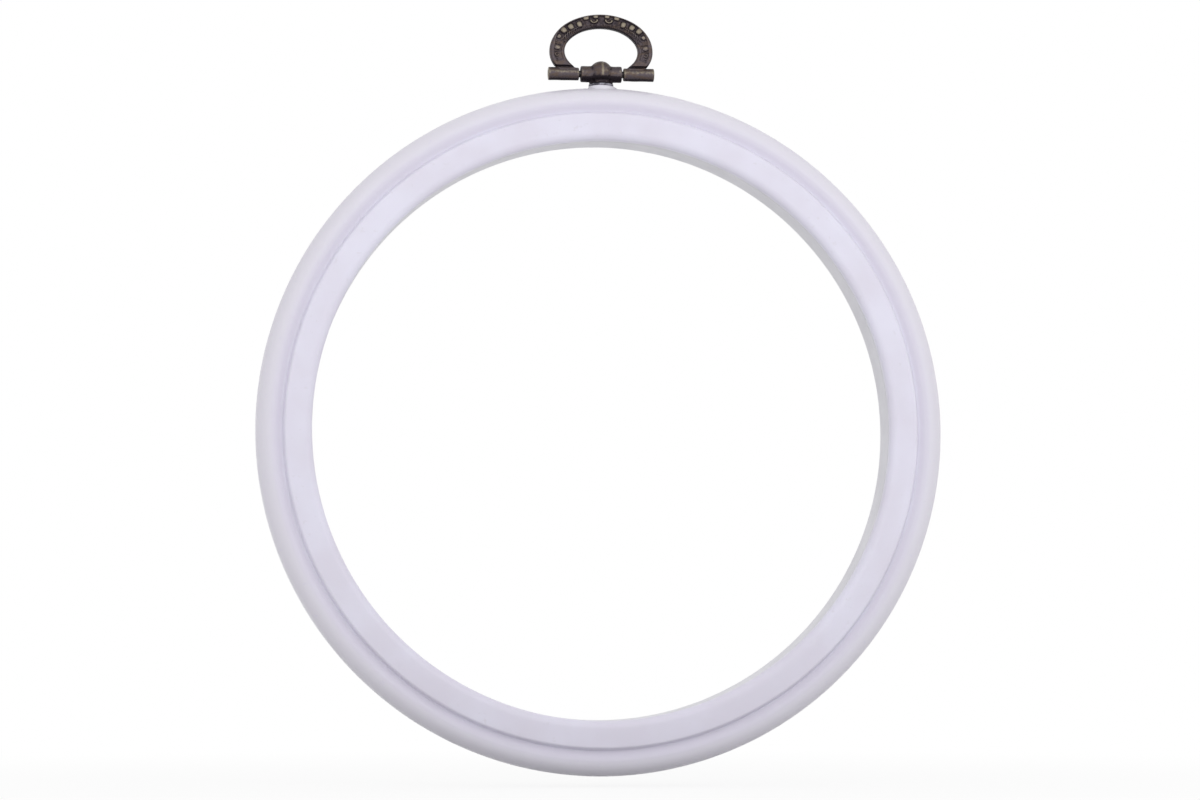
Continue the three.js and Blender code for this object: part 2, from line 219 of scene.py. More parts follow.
# Stage and camera, in metres and degrees, with the lens in millimetres
WORLD_LIGHT = 0.75
FLOOR_Z = (OUTER_LOW[2] - 2.0) * MM  # 2 mm under the hoop
FLOOR_HALF = 3.0
FLOOR_PALE = 0.9
BOUNCE_PAINTED_SHADOW, BOUNCE_FAR = 0.5, 0.9  # the floor's brightness to light that bounces onto the hoop: a painted shadow under the hoop, plain farther off
BOUNCE_START, BOUNCE_END = 0.03, 0.18
FLOOR_GLOW = 0.85
GLOW_NEAR, GLOW_FAR = 0.03, 0.3  # the floor turns to plain white between these distances
CAMERA_LEFT = 6.7
CAMERA_BELOW = 4.3
CAMERA_DISTANCE = 0.7
CAMERA_TARGET = (-0.0002, 0.0, -0.07645)
SENSOR_WIDTH = 36
LENS = 103.1
LAMP_SIZE = 0.4


# Outlines


def corner_arc(before, corner, after, run_in, run_out, steps=CORNER_STEPS):
    """Points of an elliptic arc that starts run_in before a corner and ends run_out after it."""
    before, corner, after = (np.array(p, float) for p in (before, corner, after))
    start = corner + (before - corner) / np.linalg.norm(before - corner) * run_in
    end = corner + (after - corner) / np.linalg.norm(after - corner) * run_out
    turn = np.linspace(0, math.pi / 2, steps + 1)[:, None]
    centre = start + end - corner
    return centre + (end - centre) * np.sin(turn) + (start - centre) * np.cos(turn)


def rounded_outline(corners, steps=CORNER_STEPS):
    """A closed outline from (x, y, run_in, run_out) corners, each rounded by corner_arc."""
    points = []
    for i, (x, y, run_in, run_out) in enumerate(corners):
        before, after = corners[i - 1][:2], corners[(i + 1) % len(corners)][:2]
        points.extend(corner_arc(before, (x, y), after, run_in, run_out, steps))
    return np.array(points)


def outer_ring_outline():
    """Back, rim with its mould seam, bead, groove, band, lip and the seat for the inner ring."""
    seam = (OUTER_BACK + LIP_BACK) / 2
    bead_front = BAND_FRONT - BEAD_DROP
    groove_floor = BAND_FRONT - GROOVE_DROP
    ridge = WALL_FRONT - RIDGE_SETBACK
    return rounded_outline(
        [
            (HOOP_RADIUS, OUTER_BACK, *RIM_BACK_EDGE),
            (HOOP_RADIUS, seam - SEAM_WIDTH / 2, *SEAM_EDGE),
            (HOOP_RADIUS + SEAM_RISE, seam, *SEAM_EDGE),
            (HOOP_RADIUS, seam + SEAM_WIDTH / 2, *SEAM_EDGE),
            (HOOP_RADIUS, bead_front - BEAD_TILT, *RIM_FRONT_EDGE),
            (BEAD_CREST, bead_front, *CREST_EDGE),
            (GROOVE_RADIUS + GROOVE_WIDTH, groove_floor, *BEAD_FOOT_EDGE),
            (GROOVE_RADIUS, groove_floor, *GROOVE_EDGE),
            (BAND_EDGE, BAND_FRONT, *BAND_CORNER),
            (APERTURE_RADIUS, BAND_FRONT, *LIP_FRONT_EDGE),
            (APERTURE_RADIUS, LIP_BACK, *LIP_BACK_EDGE),
            (SEAT_RADIUS, LIP_BACK, *FINE_EDGE),
            (SEAT_RADIUS, ridge + RIDGE_WIDTH / 2, *FINE_EDGE),
            (SEAT_RADIUS + RIDGE_RISE, ridge, *FINE_EDGE),
            (SEAT_RADIUS, ridge - RIDGE_WIDTH / 2, *FINE_EDGE),
            (SEAT_RADIUS, OUTER_BACK, *LEAD_IN),
        ]
    )


def inner_ring_outline():
    """Flange, wall with its locking ridge, and the smooth aperture."""
    ridge = WALL_FRONT - RIDGE_SETBACK
    return rounded_outline(
        [
            (APERTURE_RADIUS, 0, *RING_EDGE),
            (FLANGE_RADIUS, 0, *RING_EDGE),
            (FLANGE_RADIUS, FLANGE_THICKNESS, *RING_EDGE),
            (WALL_RADIUS, FLANGE_THICKNESS, *FINE_EDGE),
            (WALL_RADIUS, ridge - RIDGE_WIDTH / 2, *FINE_EDGE),
            (WALL_RADIUS + RIDGE_RISE, ridge, *FINE_EDGE),
            (WALL_RADIUS, ridge + RIDGE_WIDTH / 2, *FINE_EDGE),
            (WALL_RADIUS, WALL_FRONT, *RING_EDGE),
            (APERTURE_RADIUS, WALL_FRONT, *RING_EDGE),
        ]
    )


# Meshes


def grid_faces(rows, columns, wrap_rows=False):
    """Quads over a grid of vertices stored row by row, each row a closed loop."""
    row = np.arange(rows if wrap_rows else rows - 1)[:, None]
    column = np.arange(columns)[None]
    here, there = row * columns, (row + 1) % rows * columns
    onward = (column + 1) % columns
    quads = np.stack([here + column, here + onward, there + onward, there + column], -1)
    return quads.reshape(-1, 4).tolist()


def lathe(outline, segments=LATHE_SEGMENTS):
    """Turns a closed outline of (radius, height) about +Z."""
    turn = np.linspace(0, 2 * math.pi, segments, endpoint=False)[:, None]
    radius, height = outline[:, 0][None], outline[:, 1][None]
    vertices = np.stack([radius * np.sin(turn), -radius * np.cos(turn), height + 0 * turn], -1)
    return vertices.reshape(-1, 3), grid_faces(segments, len(outline), True)


def tube(rows):
    """Closes a stack of vertex loops into a solid, with a fan of triangles at each end."""
    count, columns = rows.shape[:2]
    vertices = rows.reshape(-1, 3)
    faces = grid_faces(count, columns)
    for loop, first in ((rows[0], 0), (rows[-1], (count - 1) * columns)):
        centre = len(vertices)
        vertices = np.vstack([vertices, loop.mean(0)])
        faces += [(first + j, first + (j + 1) % columns, centre) for j in range(columns)]
    return vertices, faces


def spindle(outline, segments=LATHE_SEGMENTS):
    """Turns an open outline of (radius, height) about +Z and closes both its ends to the axis.

    Points on the axis itself are left out. The loops stand half a segment off those of lathe, so
    that a cutter's corners don't fall on a ring's edges.
    """
    turn = 2 * math.pi * (np.arange(segments) + 0.5) / segments
    circle = np.stack([np.sin(turn), -np.cos(turn), 0 * turn], -1)
    loops = [radius * circle + (0, 0, height) for radius, height in outline if radius > 0]
    return tube(np.array(loops))


def solid_mesh(name, vertices, faces):
    """A closed mesh from vertices in millimetres, its faces turned outwards."""
    mesh = bpy.data.meshes.new(name)
    mesh.from_pydata((np.asarray(vertices) * MM).tolist(), [], faces)
    work = bmesh.new()
    work.from_mesh(mesh)
    bmesh.ops.recalc_face_normals(work, faces=work.faces)
    work.to_mesh(mesh)
    work.free()
    return mesh


def shade(mesh, sharp):
    """Smooth shading, with an edge kept sharp above an angle in degrees."""
    mesh.shade_smooth()
    mesh.set_sharp_from_angle(angle=math.radians(sharp))


def make_piece(name, vertices, faces, material, body, replaced, sharp=SHARP):
    """A smooth-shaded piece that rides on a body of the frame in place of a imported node."""
    mesh = solid_mesh(name, vertices, faces)
    shade(mesh, sharp)
    mesh.materials.append(material)
    piece = bpy.data.objects.new(name, mesh)
    bpy.context.scene.collection.objects.link(piece)
    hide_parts(replaced)
    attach(piece, body)
    return piece


def cut_away(piece, vertices, faces):
    """Takes a closed cutter, given in millimetres, out of a piece."""
    cutter = bpy.data.objects.new("cutter", solid_mesh("cutter", vertices, faces))
    bpy.context.scene.collection.objects.link(cutter)
    cut = piece.modifiers.new("cut", "BOOLEAN")
    cut.operation = "DIFFERENCE"
    cut.object = cutter
    bpy.context.view_layer.update()
    depsgraph = bpy.context.evaluated_depsgraph_get()
    shaped = bpy.data.meshes.new_from_object(piece.evaluated_get(depsgraph))
    piece.modifiers.remove(cut)
    piece.data = shaped
    shade(shaped, SHARP)
    bpy.data.meshes.remove(cutter.data)


def step_up(value, start, width):
    """0 before start, 1 after start + width, smooth between."""
    share = np.clip((value - start) / width, 0, 1)
    return share * share * (3 - 2 * share)


def hump(value, middle, width):
    """1 at the middle, and nearly 0 from two widths away."""
    return np.exp(-(((value - middle) / width) ** 2))


def mark_wear_and_painted_light(piece, reach, contrast, lift=0.0, shade_from_slope=0.2):
    """Stores 0 in hollows, 0.5 on plain faces and up to 1 on rubbed edges, and paints shade on
    undersides.

    The surface is compared with itself smoothed over a reach counted in edges, and the contrast is
    the height in millimetres that takes 0 to 1.
    """
    mesh = piece.data
    count = len(mesh.vertices)
    place, normal = np.empty(count * 3), np.empty(count * 3)
    mesh.vertices.foreach_get("co", place)
    mesh.vertices.foreach_get("normal", normal)
    place, normal = place.reshape(-1, 3) / MM, normal.reshape(-1, 3)
    ends = np.empty(len(mesh.edges) * 2, int)
    mesh.edges.foreach_get("vertices", ends)
    one, other = ends.reshape(-1, 2).T
    neighbours = np.bincount(one, minlength=count) + np.bincount(other, minlength=count)

    def spread(values):
        total = np.bincount(one, values[other], count) + np.bincount(other, values[one], count)
        return total / neighbours

    smooth = place.copy()
    for _ in range(reach):
        smooth = np.stack([spread(smooth[:, k]) for k in range(3)], 1)
    proud = ((place - smooth) * normal).sum(1)
    for _ in range(2):
        proud = spread(proud)
    # painted shade: faces that turn downwards are darkened as if in shadow
    painted_shade = UNDERSIDE_PAINTED_SHADE * step_up(-normal[:, 2], shade_from_slope, 0.35)
    proud = np.clip((proud - np.median(proud)) / contrast, -0.5, 0.5)
    # lift brings in the painted highlights and painted shade that the callers give, as well as their
    # wear and patina
    value = np.clip(0.5 + proud + lift - painted_shade, 0, 1)
    wear_and_painted_light = mesh.attributes.new("wear_and_painted_light", "FLOAT", "POINT")
    wear_and_painted_light.data.foreach_set("value", value.astype(np.float32))


# Directions of the waves that an uneven surface is made of
WAVES = ((1, 0.3, 0.2), (-0.4, 1, 0.5), (0.2, -0.6, 1), (0.8, 0.7, -0.5), (-0.9, 0.5, 0.4))


def unevenness(points, size, height):
    """A smooth, repeatable waviness over points, for surfaces that were cast.

    The odd factors keep its waves out of step with each other.
    """
    total = np.zeros(len(points))
    for k, direction in enumerate(WAVES):
        phase = points @ np.array(direction) * (2 * math.pi / size) * (1 + 0.37 * k)
        total += np.sin(phase + 1.7 * k) * np.sin(0.61 * phase + k)
    return total * height / 2


def smooth_max(a, b, reach):
    """The larger of two heights or distances, with the crease between them filled."""
    blend = np.clip(reach - np.abs(a - b), 0, None) / reach
    return np.maximum(a, b) + blend * blend * reach / 4


def smooth_min(a, b, reach):
    return -smooth_max(-a, -b, reach)


# Rings


def hoop_place(vertices):
    """Moves a ring turned about +Z, its height being its depth, to the hoop's place."""
    x, across, depth = vertices.T
    return np.stack([x, BACK_Y - depth, HOOP_Z - across], 1)


def outer_ring(vinyl):
    """The soft moulding, with the hanger's stud hole and the pocket for its screw's head."""
    vertices, faces = lathe(outer_ring_outline(), RING_SEGMENTS)
    piece = make_piece("outer_ring_moulding", hoop_place(vertices), faces, vinyl, "hoop", "outer_ring")
    head_radius = SCREW_HIGH[0] + BORE_GAP
    stud_radius = STUD_RADIUS + BORE_GAP
    pocket_top = SCREW_LOW[2] + SCREW_HEAD + STACK_GAP
    stud_top = WASHER_LOW[2] - STUD_HOLE_SETBACK
    pocket = [(head_radius, HOOP_Z), (head_radius, pocket_top)]
    pocket += [(stud_radius, pocket_top), (stud_radius, stud_top)]
    cut_away(piece, *spindle(pocket, COARSE_SEGMENTS))


def inner_ring(plastic):
    """The rigid ring that the cloth goes over, with the mould's ejector marks in its back."""
    vertices, faces = lathe(inner_ring_outline(), RING_SEGMENTS)
    piece = make_piece(
        "inner_ring_moulding", hoop_place(vertices), faces, plastic, "inner_ring", "inner_ring"
    )
    middle = (APERTURE_RADIUS + FLANGE_RADIUS) / 2
    side = [(EJECTOR_RADIUS, -OVERCUT), (EJECTOR_RADIUS, EJECTOR_DEPTH)]
    mark, mark_faces = spindle(side, MARK_SEGMENTS)
    places, all_faces = [], []
    for k in range(EJECTOR_MARKS):
        turn = 2 * math.pi * ((k + 0.5) / EJECTOR_MARKS + 0.5 / RING_SEGMENTS)
        all_faces += [tuple(i + k * len(mark) for i in face) for face in mark_faces]
        places.append(mark + (middle * math.sin(turn), middle * math.cos(turn), 0))
    cut_away(piece, hoop_place(np.vstack(places)), all_faces)


def rim_height(x, y):
    """Height of the outer ring's rim at places near the hanger."""
    outline = outer_ring_outline()
    rim = outline[outline[:, 0] > RIM_START]
    rim = rim[np.argsort(rim[:, 1])]
    radius = np.interp(BACK_Y - y, rim[:, 1], rim[:, 0])
    return HOOP_Z + np.sqrt(radius**2 - x**2)


def boss(vinyl):
    """The moulded seat under the hanger, running out into the rim, farther on its right."""
    turn = np.linspace(0, 2 * math.pi, FINE_SEGMENTS, endpoint=False)
    foot = BOSS_FOOT + BOSS_RIGHT_FLARE * np.clip(np.cos(turn), 0, 1) ** 2
    top = WASHER_LOW[2] - BOSS_GAP
    rows = []
    for share in np.linspace(0.01, 1, BOSS_LOOPS):
        reach = foot * share
        x, y = reach * np.cos(turn), reach * np.sin(turn)
        out = np.clip((reach - BOSS_FLAT) / (foot - BOSS_FLAT), 0, 1)
        fall = 1 - (1 - out) ** FLARE_POWER * (1 + FLARE_SWELL * out)
        ground = rim_height(x, y) - BOSS_SINK
        rows.append(np.stack([x, y, ground + (top - ground) * (1 - fall)], -1))
    rows.append(rows[-1] - (0, 0, BOSS_TUCK))
    vertices, faces = tube(np.array(rows))
    make_piece("hanger_boss", vertices, faces, vinyl, "hoop", "outer_ring")


# Hanger


def casting_distance(x, y, z):
    """Signed distance to the knuckle's outside, with z counted from the pin's axis."""
    neck_bottom = WASHER_HIGH[2] + STACK_GAP - PIN_Z
    bar = np.hypot(y, z) - CROSS_TUBE_RADIUS
    ball = np.sqrt(x**2 + y**2 + (z - BALL_RISE) ** 2) - BALL_RADIUS
    neck = smooth_max(np.hypot(x, y) - NECK_RADIUS, z - NECK_TOP, FILLET)
    body = smooth_min(smooth_min(bar, ball, FILLET), neck, CREASE)
    return smooth_max(body, neck_bottom - z, CREASE)


def knuckle_end(side, ring):
    """Loops of (place along the pin, radius) from a tube's rounded end into the pin's hole."""
    half = KNUCKLE_HIGH[0]
    loops = []
    for step in np.linspace(0, math.pi / 2, 6)[1:]:
        place = half - TUBE_EDGE + TUBE_EDGE * math.sin(step)
        loops.append((side * place, ring - TUBE_EDGE * (1 - math.cos(step))))
    for setback, room in BORE_MOUTH:
        loops.append((side * (half - setback), np.full(len(ring), PIN_RADIUS + room)))
    return loops


def loop_round_pin(place, radius, turn):
    """A loop of points round the pin's axis."""
    return np.stack([place + 0 * turn, radius * np.sin(turn), PIN_Z + radius * np.cos(turn)], -1)


def knuckle(brass):
    """Ball, cross tube and neck in one casting, by radii about the pin's axis, with a seam."""
    half = KNUCKLE_HIGH[0] - TUBE_EDGE
    along = np.linspace(-half, half, round(2 * half / CASTING_STEP))
    turn = np.linspace(0, 2 * math.pi, CASTING_SEGMENTS, endpoint=False)
    x, angle = np.meshgrid(along, turn, indexing="ij")
    near, far = np.full(x.shape, PIN_RADIUS), np.full(x.shape, 2 * BALL_RADIUS)
    for _ in range(HALVINGS):
        middle = (near + far) / 2
        inside = casting_distance(x, middle * np.sin(angle), middle * np.cos(angle)) < 0
        near, far = np.where(inside, middle, near), np.where(inside, far, middle)
    radius = near
    points = np.stack([x, radius * np.sin(angle), radius * np.cos(angle)], -1).reshape(-1, 3)
    on_front = step_up(-np.sin(angle), 0.1, 0.4) * step_up(radius * np.cos(angle), *BALL_SHOWS)
    seam = BALL_SEAM_RISE * hump(x, BALL_SEAM_PLACE, BALL_SEAM_WIDTH) * on_front
    radius = radius + seam + unevenness(points, *KNUCKLE_WAVES).reshape(x.shape)
    loops = knuckle_end(-1, radius[0])[::-1] + list(zip(along, radius)) + knuckle_end(1, radius[-1])
    rows = np.array([loop_round_pin(place, ring, turn) for place, ring in loops])
    piece = make_piece("knuckle_casting", *tube(rows), brass, "hoop", "hanger_knuckle", sharp=60)
    across, front, height = rows[..., 0], -rows[..., 1], rows[..., 2] - PIN_Z
    on_ball = np.exp(-((across / 1.3) ** 4)) * step_up(front, 0.8, 1) * step_up(height, *BALL_SHOWS)
    by_end = step_up(np.abs(across), half - 0.3, 0.4)
    # painted highlight: a lighter stripe along the cross tube, where a lamp's highlight lies
    painted_highlight_stripe = CROSS_TUBE_PAINTED_HIGHLIGHT * hump(height, STRIPE_HEIGHT, 0.4) * (1 - on_ball)
    # the seam on the ball's front is worn, and a painted highlight makes it brighter still
    seam_wear_and_highlight = BALL_SEAM_WEAR_AND_HIGHLIGHT * hump(across, BALL_SEAM_PLACE, 0.26)
    # painted shade: a darker band down the ball's side, left of its seam
    painted_side_shade = BALL_SIDE_PAINTED_SHADE * hump(across, -0.5, 0.3)
    lift = (seam_wear_and_highlight - painted_side_shade) * on_ball + painted_highlight_stripe
    # painted shade at the tube's ends, in the gaps by the barrels, and on the neck under the ball
    lift = lift - TUBE_END_PAINTED_SHADE * by_end - NECK_PAINTED_SHADE * step_up(-height, 1.0, 0.3)
    lift = np.concatenate([lift.reshape(-1), [0, 0]])
    mark_wear_and_painted_light(piece, reach=30, contrast=0.18, lift=lift)


def stud(brass):
    """The knuckle's stud, which goes down through the washer and the rim."""
    bore, top = SCREW_RADIUS + BORE_GAP, WASHER_HIGH[2] + STUD_RISE
    outline = rounded_outline(
        [
            (bore, KNUCKLE_LOW[2], 0.1, 0.1),
            (STUD_RADIUS, KNUCKLE_LOW[2], 0.2, 0.2),
            (STUD_RADIUS, top, 0.1, 0.1),
            (bore, top, 0.1, 0.1),
        ],
        steps=4,
    )
    piece = make_piece("knuckle_stud", *lathe(outline), brass, "hoop", "hanger_knuckle")
    mark_wear_and_painted_light(piece, reach=4, contrast=0.1)


def washer(steel):
    """The collar between the boss and the knuckle."""
    bore, radius = STUD_RADIUS + BORE_GAP, WASHER_HIGH[0]
    outline = rounded_outline(
        [
            (bore, WASHER_LOW[2], 0.05, 0.05),
            (radius, WASHER_LOW[2], 0.1, 0.1),
            (radius, WASHER_HIGH[2], 0.2, 0.2),
            (bore, WASHER_HIGH[2], 0.05, 0.05),
        ],
        steps=5,
    )
    make_piece("neck_washer_disc", *lathe(outline, FINE_SEGMENTS), steel, "hoop", "neck_washer")


def fixing_screw(steel):
    """The cheese-head screw that holds the knuckle's stud from inside the ring, with its slot."""
    head_radius, head_top = SCREW_HIGH[0], SCREW_LOW[2] + SCREW_HEAD
    outline = rounded_outline(
        [
            (0, SCREW_LOW[2], 0, 0),
            (head_radius, SCREW_LOW[2], 0.3, 0.2),
            (head_radius, head_top, 0.08, 0.08),
            (SCREW_RADIUS, head_top, 0.1, 0.1),
            (SCREW_RADIUS, SCREW_HIGH[2], 0.25, 0.25),
            (0, SCREW_HIGH[2], 0, 0),
        ],
        steps=5,
    )
    piece = make_piece("fixing_screw_slotted", *spindle(outline), steel, "hoop", "fixing_screw")
    wide, deep = SLOT_WIDTH / 2, SCREW_LOW[2] + SLOT_DEPTH
    ends = [(-SLOT_REACH, -wide), (SLOT_REACH, -wide), (SLOT_REACH, wide), (-SLOT_REACH, wide)]
    slot = [[(x, y, z) for x, y in ends] for z in (SCREW_LOW[2] - OVERCUT, deep)]
    cut_away(piece, *tube(np.array(slot)))


def along_pin(vertices):
    """Lays a lathed shape along the pin's axis."""
    x, y, height = vertices.T
    return np.stack([height, x, PIN_Z - y], 1)


def barrel(side, name, brass):
    """One of the bail's two hinge barrels, cast with slightly uneven sides."""
    bore = PIN_RADIUS + STACK_GAP
    between_ends = np.linspace(BARREL_START, BARREL_END, BARREL_STEPS)[4:-4]
    outside = [(BARREL_RADIUS, place, 0.01, 0.01) for place in between_ends]
    outline = rounded_outline(
        [(bore, BARREL_START, 0.05, 0.05), (BARREL_RADIUS, BARREL_START, TUBE_EDGE, TUBE_EDGE)]
        + outside
        + [(BARREL_RADIUS, BARREL_END, TUBE_EDGE, TUBE_EDGE), (bore, BARREL_END, 0.08, 0.08)],
        steps=3,
    )
    vertices, faces = lathe(outline, FINE_SEGMENTS)
    reach = np.hypot(vertices[:, 0], vertices[:, 1])
    places = vertices + 5 * side  # so that the two barrels differ
    uneven = unevenness(places, *BARREL_WAVES) * (reach > BARREL_RADIUS - TUBE_EDGE)
    vertices[:, :2] *= (1 + uneven / BARREL_RADIUS)[:, None]
    vertices = along_pin(vertices) * (side, 1, 1)
    piece = make_piece(name, vertices, faces, brass, "bail", "bail")
    # painted highlight: a lighter stripe along the barrel, where a lamp's highlight lies
    wear_and_highlight = BARREL_PAINTED_HIGHLIGHT * hump(vertices[:, 2] - PIN_Z, STRIPE_HEIGHT, 0.35)
    mark_wear_and_painted_light(piece, reach=16, contrast=0.7, lift=wear_and_highlight, shade_from_slope=0.6)


def pin(steel):
    """The hinge pin, with domed ends just inside the barrels."""
    half = PIN_HIGH[0]
    outline = rounded_outline(
        [
            (0, -half, 0, 0),
            (PIN_RADIUS, -half, 0.25, 0.2),
            (PIN_RADIUS, half, 0.2, 0.25),
            (0, half, 0, 0),
        ],
        steps=6,
    )
    vertices, faces = spindle(outline, COARSE_SEGMENTS)
    make_piece("hinge_pin_rod", along_pin(vertices), faces, steel, "bail", "hinge_pin")


# Ornament of the bail, by distance along the arch from its top and offset outwards from its middle
BEAD_SQUARENESS, BEAD_FLATNESS = 2.6, 0.35
CURL_CLOSING = 0.45
CUP_PLACE, CUP_OFFSET = 1.5, 0.22
CUP_HALF_LENGTH, CUP_HALF_WIDTH = 0.62, 0.46
COLLARS = (10.75, 12.2)
BORDER_START, BORDER_END, BORDER_OFFSET = 2.4, 9.6, -0.9
BORDER_HALF_WIDTH, BORDER_PITCH = 0.2, 0.46
LEAF_PLACE, LEAF_OFFSET = 7.2, -0.4
LEAF_HALF_LENGTH, LEAF_HALF_WIDTH = 2.6, 0.42
MIDRIB_START, MIDRIB_END, MIDRIB_OFFSET, MIDRIB_LEAN = 4.8, 9.9, -0.42, 0.03
VEIN_PITCH = 0.62

# Beads: place along the arch, offset, half length, half width, height
BEADS = (
    (1.1, 0.9, 0.5, 0.4, 0.44),
    (2.98, 0.88, 0.56, 0.42, 0.4),
    (4.6, 0.05, 0.54, 0.66, 0.44),
    (6.4, 0.32, 0.58, 0.64, 0.5),
    (7.9, 0.58, 0.56, 0.6, 0.5),
    (9.35, 0.52, 0.44, 0.4, 0.24),
    (11.5, 0.03, 0.46, 0.6, 0.36),
)

# Curls at the foot: place, offset, radius, start and turn in degrees, half width, height
CURLS = (
    (13.0, 0.1, 0.4, 200, -300, 0.12, 0.28),
    (13.7, 0.35, 0.28, 30, 260, 0.11, 0.24),
)


def bead(arc, offset, at, out, half_arc, half_out, height):
    """A round or oval bead with a worn top."""
    along = np.abs((arc - at) / half_arc) ** BEAD_SQUARENESS
    across = np.abs((offset - out) / half_out) ** BEAD_SQUARENESS
    return height * np.clip(1 - (along + across), 0, None) ** BEAD_FLATNESS


def ridge_along(arc, offset, path, half_width, height):
    """A half-round ridge along a path of (place, offset) points."""
    best = np.zeros(arc.shape)
    for at, out in path:
        distance = ((arc - at) ** 2 + (offset - out) ** 2) / half_width**2
        best = np.maximum(best, height * np.sqrt(np.clip(1 - distance, 0, None)))
    return best


def curl(at, out, radius, start, turn):
    """Points of a spiral that closes in on its centre, with its start and turn in degrees."""
    share = np.linspace(0, 1, 40)
    angle = np.radians(start + turn * share)
    reach = radius * (1 - CURL_CLOSING * share)
    return np.stack([at + reach * np.cos(angle), out + reach * np.sin(angle)], 1)


def cup(arc, offset):
    """The rim of a small cup that opens towards the outside of the arch."""
    turn = np.radians(np.linspace(175, 365, 30))
    places = CUP_PLACE + CUP_HALF_LENGTH * np.cos(turn)
    offsets = CUP_OFFSET + CUP_HALF_WIDTH * np.sin(turn)
    path = np.stack([places, offsets], 1)
    return ridge_along(arc, offset, path, half_width=0.23, height=0.42)


def collar(arc, offset, place):
    """A thin ridge across the channel."""
    path = [(place, out) for out in np.arange(-0.55, 0.6, 0.04)]
    return ridge_along(arc, offset, path, half_width=0.1, height=0.26)


def twisted_border(arc, offset):
    """A rope along the inner side of the channel."""
    twist = 0.24 + 0.08 * np.cos(2 * math.pi * (arc - 0.8 * offset) / BORDER_PITCH)
    width = np.clip(1 - ((offset - BORDER_OFFSET) / BORDER_HALF_WIDTH) ** 2, 0, None)
    rope = width * (arc > BORDER_START) * (arc < BORDER_END)
    return 0.5 * twist * np.sqrt(rope)


def leaf(arc, offset):
    """A long low leaf with slanting veins."""
    veins = 0.1 + 0.1 * np.cos(2 * math.pi * (arc + 1.1 * offset) / VEIN_PITCH)
    width = np.clip(1 - ((offset - LEAF_OFFSET) / LEAF_HALF_WIDTH) ** 2, 0, None)
    length = np.clip(1 - ((arc - LEAF_PLACE) / LEAF_HALF_LENGTH) ** 2, 0, None)
    return veins * np.sqrt(width * length)


def midrib(arc, offset):
    """The leaf's midrib, which leans slightly outwards."""
    places = np.arange(MIDRIB_START, MIDRIB_END, 0.05)
    path = [(at, MIDRIB_OFFSET + MIDRIB_LEAN * (at - MIDRIB_START)) for at in places]
    return ridge_along(arc, offset, path, half_width=0.11, height=0.18)


def ornament(arc, offset):
    """The cast pattern on half the arch, from the cup at the top to the curls at the foot."""
    parts = [cup(arc, offset), twisted_border(arc, offset), leaf(arc, offset), midrib(arc, offset)]
    parts += [bead(arc, offset, *place) for place in BEADS]
    parts += [collar(arc, offset, place) for place in COLLARS]
    for *shape, half_width, height in CURLS:
        parts.append(ridge_along(arc, offset, curl(*shape), half_width, height))
    return np.max(parts, 0)


def bail_relief(arc, offset):
    """How deep the channel is cut in the bail's face, and how high the pattern stands in it."""
    outer_edge = CHANNEL_OUTER + OUTER_SHIFT * step_up(arc, *OUTER_SPAN)
    inner_edge = CHANNEL_INNER + INNER_SHIFT * step_up(arc, *INNER_SPAN)
    sunk = step_up(outer_edge - offset, 0, CHANNEL_EDGE)
    sunk = sunk * step_up(offset - inner_edge, 0, CHANNEL_EDGE)
    sunk = sunk * (1 - step_up(arc, *CHANNEL_END_SPAN))
    shallower = 1 - CHANNEL_SHALLOWER * step_up(arc, *SHALLOWER_SPAN)
    return CHANNEL_DEPTH * sunk * shallower, ornament(arc, offset) * np.sqrt(sunk) * shallower


def oval(angle):
    """The bail's centre line at an angle from its top."""
    centre = PIN_Z + BAIL_CENTRE_RISE
    return BAIL_HALF_WIDTH * np.sin(angle), centre + BAIL_HALF_HEIGHT * np.cos(angle)


def bail_line():
    """Even places on the centre line, with their outward directions and distances from the top."""
    foot_x = BARREL_START + BAIL_BAND / 4
    foot = math.pi / 2 + math.acos(foot_x / BAIL_HALF_WIDTH)
    angle = np.linspace(-foot, foot, LINE_STEPS)
    x, z = oval(angle)
    arc = np.concatenate([[0], np.cumsum(np.hypot(np.diff(x), np.diff(z)))])
    arc -= arc[-1] / 2
    even = np.linspace(arc[0], arc[-1], BAIL_STEPS)
    angle = np.interp(even, arc, angle)
    out = np.stack([BAIL_HALF_HEIGHT * np.sin(angle), BAIL_HALF_WIDTH * np.cos(angle)], -1)
    return np.stack(oval(angle), -1), out / np.linalg.norm(out, axis=1)[:, None], even


